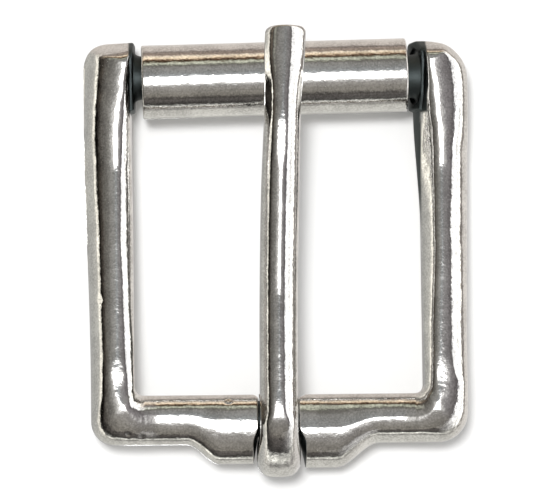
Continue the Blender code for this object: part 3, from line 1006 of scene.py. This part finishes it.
def polished_metal(name, colour, roughness):
    """Polished plate, stained and speckled, finely rippled, with dark cast skin and painted shade where it
    has any.
    """
    material = bpy.data.materials.new(name)
    material.use_nodes = True
    n = Nodes(material.node_tree)
    place = n.add("ShaderNodeTexCoord").outputs["Object"]
    clouds = n.noise(place, *CLOUDS)
    speckle = n.noise(place, *SPECKLE)
    rough = n.smooth(clouds, 0.35, 0.75, roughness, roughness * DULLEST)
    stain = n.math("ADD", n.product(clouds, 0.5), n.product(speckle, 0.5))
    tint = n.mix(n.smooth(stain, 0.36, 0.64), tinted(colour, CLEAN_TINT), tinted(colour, STAINED_TINT))
    grain = n.noise(place, *GRAIN)
    ripple = n.noise(place, *RIPPLE)
    grain_bump = {"Strength": 0.5, "Distance": GRAIN_DEPTH * MM, "Height": grain}
    bump = n.add("ShaderNodeBump", grain_bump).outputs[0]
    ripple_bump = {"Strength": 0.6, "Distance": RIPPLE_DEPTH * MM, "Height": ripple, "Normal": bump}
    bump = n.add("ShaderNodeBump", ripple_bump).outputs[0]
    # dark cast skin, also painted shade in the gaps
    skin_and_shade = n.add("ShaderNodeAttribute", attribute_name="cast_skin_and_gap_shade").outputs["Fac"]
    tint = n.mix(skin_and_shade, tint, tinted(SKIN_AND_SHADE_COLOUR))
    rough = n.math("ADD", rough, n.product(skin_and_shade, SKIN_AND_SHADE_ROUGHNESS))
    surface = {"Base Color": tint, "Metallic": 1.0, "Roughness": rough, "Normal": bump}
    shader = n.add("ShaderNodeBsdfPrincipled", surface)
    n.add("ShaderNodeOutputMaterial", {"Surface": shader.outputs[0]})
    return material


# ---- studio ----


PAPER_HALF_WIDTH = 1.5  # metres
PAPER_COLOUR = (0.86, 0.86, 0.855)


def add_floor():
    """White paper, which the metal doesn't mirror: the surround stands for what it does."""
    bm = bmesh.new()
    bmesh.ops.create_grid(bm, x_segments=1, y_segments=1, size=PAPER_HALF_WIDTH)
    mesh = bpy.data.meshes.new("floor")
    bm.to_mesh(mesh)
    bm.free()
    floor = bpy.data.objects.new("floor", mesh)
    bpy.context.scene.collection.objects.link(floor)
    material = bpy.data.materials.new("white_paper")
    material.use_nodes = True
    n = Nodes(material.node_tree)
    shader = n.add("ShaderNodeBsdfDiffuse", {"Color": tinted(PAPER_COLOUR)})
    n.add("ShaderNodeOutputMaterial", {"Surface": shader.outputs[0]})
    mesh.materials.append(material)
    floor.visible_glossy = False


def add_lamp(name, direction, distance, size, radiance):
    """Square lamp that looks at the buckle from a direction. The metal doesn't mirror it."""
    data = bpy.data.lights.new(name, "AREA")
    data.shape = "SQUARE"
    data.size = size
    data.energy = radiance * math.pi * size * size
    lamp = bpy.data.objects.new(name, data)
    way = Vector(direction).normalized()
    lamp.location = way * distance
    lamp.rotation_euler = way.to_track_quat("Z", "Y").to_euler()
    lamp.visible_camera = False
    lamp.visible_glossy = False
    bpy.context.scene.collection.objects.link(lamp)


# What the metal mirrors on each side of the room: degrees from straight up, and radiance there
NORTH = (
    (0, (0.78, 0.84, 0.90)),
    (5, (0.76, 0.82, 0.88)),
    (11, (0.52, 0.55, 0.57)),
    (18, (0.42, 0.43, 0.43)),
    (38, (0.40, 0.39, 0.37)),
    (44, (0.17, 0.16, 0.14)),
    (49, (0.78, 0.80, 0.66)),
    (53, (0.78, 0.80, 0.66)),
    (57, (0.24, 0.21, 0.15)),
    (61, (0.05, 0.03, 0.02)),
    (65, (0.22, 0.12, 0.07)),
    (70, (1.15, 0.92, 0.66)),
    (78, (1.15, 1.00, 0.82)),
    (84, (0.52, 0.42, 0.35)),
    (98, (0.36, 0.30, 0.27)),
    (108, (0.84, 0.76, 0.70)),
    (150, (0.90, 0.84, 0.79)),
    (180, (0.40, 0.38, 0.36)),
)
SOUTH = (
    (0, (0.55, 0.55, 0.56)),
    (13, (0.60, 0.60, 0.60)),
    (25, (0.48, 0.46, 0.44)),
    (38, (0.39, 0.37, 0.34)),
    (54, (0.29, 0.27, 0.24)),
    (60, (0.19, 0.175, 0.16)),
    (67, (0.11, 0.10, 0.095)),
    (84, (0.09, 0.085, 0.08)),
    (88, (0.70, 0.70, 0.66)),
    (93, (1.35, 1.35, 1.25)),
    (98, (0.75, 0.74, 0.70)),
    (103, (0.36, 0.35, 0.33)),
    (112, (0.85, 0.84, 0.79)),
    (150, (0.92, 0.91, 0.86)),
    (180, (0.30, 0.30, 0.28)),
)
WEST = (
    (0, (0.43, 0.43, 0.41)),
    (26, (0.43, 0.42, 0.40)),
    (38, (0.31, 0.30, 0.28)),
    (46, (0.23, 0.22, 0.205)),
    (56, (0.17, 0.16, 0.145)),
    (66, (0.11, 0.10, 0.09)),
    (74, (0.05, 0.045, 0.04)),
    (78, (0.005, 0.004, 0.003)),
    (89, (0.005, 0.004, 0.003)),
    (92, (1.60, 1.55, 1.40)),
    (103, (1.60, 1.55, 1.40)),
    (112, (0.80, 0.79, 0.74)),
    (130, (0.60, 0.60, 0.57)),
    (155, (0.56, 0.56, 0.55)),
    (180, (0.32, 0.32, 0.32)),
)
EAST = (
    (0, (0.41, 0.40, 0.40)),
    (34, (0.34, 0.32, 0.33)),
    (43, (0.22, 0.205, 0.21)),
    (47, (0.08, 0.07, 0.08)),
    (51, (2.40, 2.40, 2.45)),
    (84, (2.40, 2.38, 2.30)),
    (88, (0.36, 0.33, 0.31)),
    (95, (0.40, 0.36, 0.34)),
    (102, (1.05, 1.00, 0.95)),
    (160, (1.02, 1.00, 0.98)),
    (180, (0.50, 0.48, 0.47)),
)
RAMP_FULL = 4.0  # radiance that a ramp's white stands for
LAMP_RADIANCE = 8.0
LAMP_HALF_X = 14.0  # the mirrored lamp's edges, in degrees from straight up
LAMP_Y = (-13.5, 5.5)
# How far outside and inside its edges the lamp fades, and the haze about it: at the sides, at the
# near edge and at the far edge, as tangents of the angles
LAMP_FADES = ((0.03, 0.03), (0.03, 0.02), (0.06, 0.07))
HALO_FADES = ((0.34, 0.03), (0.2, 0.0), (0.12, 0.05))
HALO_SHARE = 0.11  # of the lamp's radiance, in the haze
DIFFUSE_RADIANCE = 0.62  # of the plain surround that lights the paper
BLEND = 0.05  # half the width over which opposite sides of the room pass into each other
CLUTTER_SCALE = (7.0, 7.0, 16.0)
CLUTTER_STRENGTH = (0.35, 1.75)


def ramp(n, from_zenith, profile):
    """Colour by the angle from straight up, from a table of angles and colours."""
    node = n.add("ShaderNodeValToRGB", {0: from_zenith})
    stops = node.color_ramp.elements
    for angle, _ in profile[1:-1]:
        stops.new(angle / 180.0)
    for stop, (_, colour) in zip(stops, profile):
        stop.color = tinted(colour, 1.0 / RAMP_FULL)
    return node.outputs[0]


def surround(n, way):
    """The four sides of the room, blended round the compass."""
    x, y, z = n.add("ShaderNodeSeparateXYZ", {0: way}).outputs[:3]
    from_zenith = n.math("DIVIDE", n.math("ARCCOSINE", z), math.pi)
    level = n.math("MAXIMUM", n.math("SUBTRACT", 1.0, n.product(z, z)), 0.0001)
    eastward = n.math("DIVIDE", n.product(x, x), level)
    west, east = (ramp(n, from_zenith, profile) for profile in (WEST, EAST))
    south, north = (ramp(n, from_zenith, profile) for profile in (SOUTH, NORTH))
    east_west = n.mix(n.smooth(x, -BLEND, BLEND), west, east)
    north_south = n.mix(n.smooth(y, -BLEND, BLEND), south, north)
    room = n.mix(eastward, north_south, east_west)
    scaled = {0: room, "Scale": clutter(n, way, from_zenith)}
    return n.add("ShaderNodeVectorMath", scaled, operation="SCALE").outputs[0]


def clutter(n, way, from_zenith):
    """Strength of the surround: things stand about it a little above the horizon."""
    scaled = {0: way, 1: CLUTTER_SCALE}
    stretched = n.add("ShaderNodeVectorMath", scaled, operation="MULTIPLY").outputs[0]
    things = n.smooth(n.noise(stretched, 1.0, 5.0, 0.7), 0.36, 0.66, *CLUTTER_STRENGTH)
    near_horizon = n.product(n.smooth(from_zenith, 0.12, 0.40), n.smooth(from_zenith, 0.62, 0.54))
    return n.math("ADD", 1.0, n.product(near_horizon, n.math("SUBTRACT", things, 1.0)))


def mirrored_lamp(n, way):
    """Share of the lamp's light by direction: the lamp itself, and a haze about it."""
    x, y, z = n.add("ShaderNodeSeparateXYZ", {0: way}).outputs[:3]
    upright = n.math("MAXIMUM", z, 0.05)
    across = n.math("ABSOLUTE", n.math("DIVIDE", x, upright))
    ahead = n.math("DIVIDE", y, upright)
    lamp = lamp_outline(n, across, ahead, LAMP_FADES)
    halo = lamp_outline(n, across, ahead, HALO_FADES)
    return n.math("MAXIMUM", lamp, n.product(halo, HALO_SHARE))


def lamp_outline(n, across, ahead, fades):
    """1 inside the lamp's edges and 0 outside, with its fades between."""
    edge = math.tan(math.radians(LAMP_HALF_X))
    near, far = (math.tan(math.radians(angle)) for angle in LAMP_Y)
    side_fade, near_fade, far_fade = fades
    return n.product(
        n.smooth(across, edge + side_fade[0], edge - side_fade[1]),
        n.smooth(ahead, near - near_fade[0], near + near_fade[1]),
        n.smooth(ahead, far + far_fade[0], far - far_fade[1]),
    )


def grey(radiance):
    return tinted((radiance, radiance, radiance), 1.0 / RAMP_FULL)


def add_world():
    """White to the camera, soft grey as light, and a furnished room with a lamp in reflections."""
    world = bpy.data.worlds.new("studio")
    bpy.context.scene.world = world
    world.use_nodes = True
    world.cycles.sampling_method = "NONE"
    n = Nodes(world.node_tree)
    way = n.add("ShaderNodeTexCoord").outputs["Generated"]
    mirrored = n.mix(mirrored_lamp(n, way), surround(n, way), grey(LAMP_RADIANCE))
    path = n.add("ShaderNodeLightPath")
    plain = n.mix(path.outputs["Is Camera Ray"], grey(DIFFUSE_RADIANCE), grey(1.0))
    colour = n.mix(path.outputs["Is Glossy Ray"], plain, mirrored)
    background = n.add("ShaderNodeBackground", {"Color": colour, "Strength": RAMP_FULL})
    n.add("ShaderNodeOutputWorld", {"Surface": background.outputs[0]})


# Camera: nearly overhead, a little to the lower left
VIEW_DISTANCE = 0.45  # metres
VIEW_TILT = 5.0
VIEW_PAN = 2.0
VIEW_ROLL = 0.66
VIEW_WIDTH = 76.1878  # how much of the surface the picture is wide
VIEW_SHIFT = (-0.002745, 0.0126)  # in picture widths
SENSOR = 36.0


def add_camera():
    data = bpy.data.cameras.new("camera")
    data.sensor_width = SENSOR
    data.sensor_fit = "HORIZONTAL"
    data.lens = SENSOR * VIEW_DISTANCE / (VIEW_WIDTH * MM)
    data.shift_x, data.shift_y = VIEW_SHIFT
    data.clip_start = 0.01
    camera = bpy.data.objects.new("camera", data)
    bpy.context.scene.collection.objects.link(camera)
    tilt, pan, roll = (math.radians(angle) for angle in (VIEW_TILT, VIEW_PAN, VIEW_ROLL))
    flat = math.cos(pan)
    away = Vector((-math.sin(pan), -math.sin(tilt) * flat, math.cos(tilt) * flat))
    right = Vector((0.0, 1.0, 0.0)).cross(away).normalized()
    turn = Matrix((right, away.cross(right), away)).transposed().to_4x4()
    place = Matrix.Translation(away * VIEW_DISTANCE)
    camera.matrix_world = place @ turn @ Matrix.Rotation(-roll, 4, "Z")
    bpy.context.scene.camera = camera


KEY_DIRECTION = (-0.15, 0.15, 1.0)
KEY_DISTANCE = 1.2  # metres
KEY_SIZE = 0.3  # metres
KEY_RADIANCE = 38.0
ROUGHNESS = 0.045


def main():
    rings = frame_rings()
    # the frame has dark cast skin and painted shade in its gaps
    buckle = add_piece("cast_frame", rings, closed=True, seed=3.1, skinned_and_gap_shaded=True, nicks=FRAME_NICKS)
    buckle.location = NECK
    tongue = add_piece("prong", tongue_rings(), seed=7.7)
    tongue.location = NECK
    roller = add_piece("roller_tube", roller_rings(), seed=5.2, round_piece=True)
    roller.location = ROLLER_AXIS_POINT
    roller.rotation_euler.z = math.atan2(ROLLER_AXIS.y, ROLLER_AXIS.x)

    for piece, node, body, slot, colour in (
        (buckle, "buckle_frame", "frame", "frame_metal", (0.62, 0.61, 0.59)),
        (roller, "roller", "roller", "roller_metal", (0.64, 0.63, 0.61)),
        (tongue, "tongue", "tongue", "tongue_metal", (0.60, 0.59, 0.575)),
    ):
        piece.data.materials.append(polished_metal(piece.name + "_metal", colour, ROUGHNESS))
        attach(piece, body)
        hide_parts(node)

    add_floor()
    add_world()
    add_lamp("key", KEY_DIRECTION, KEY_DISTANCE, KEY_SIZE, KEY_RADIANCE)
    add_camera()
    bpy.context.scene.view_settings.view_transform = "Standard"


main()
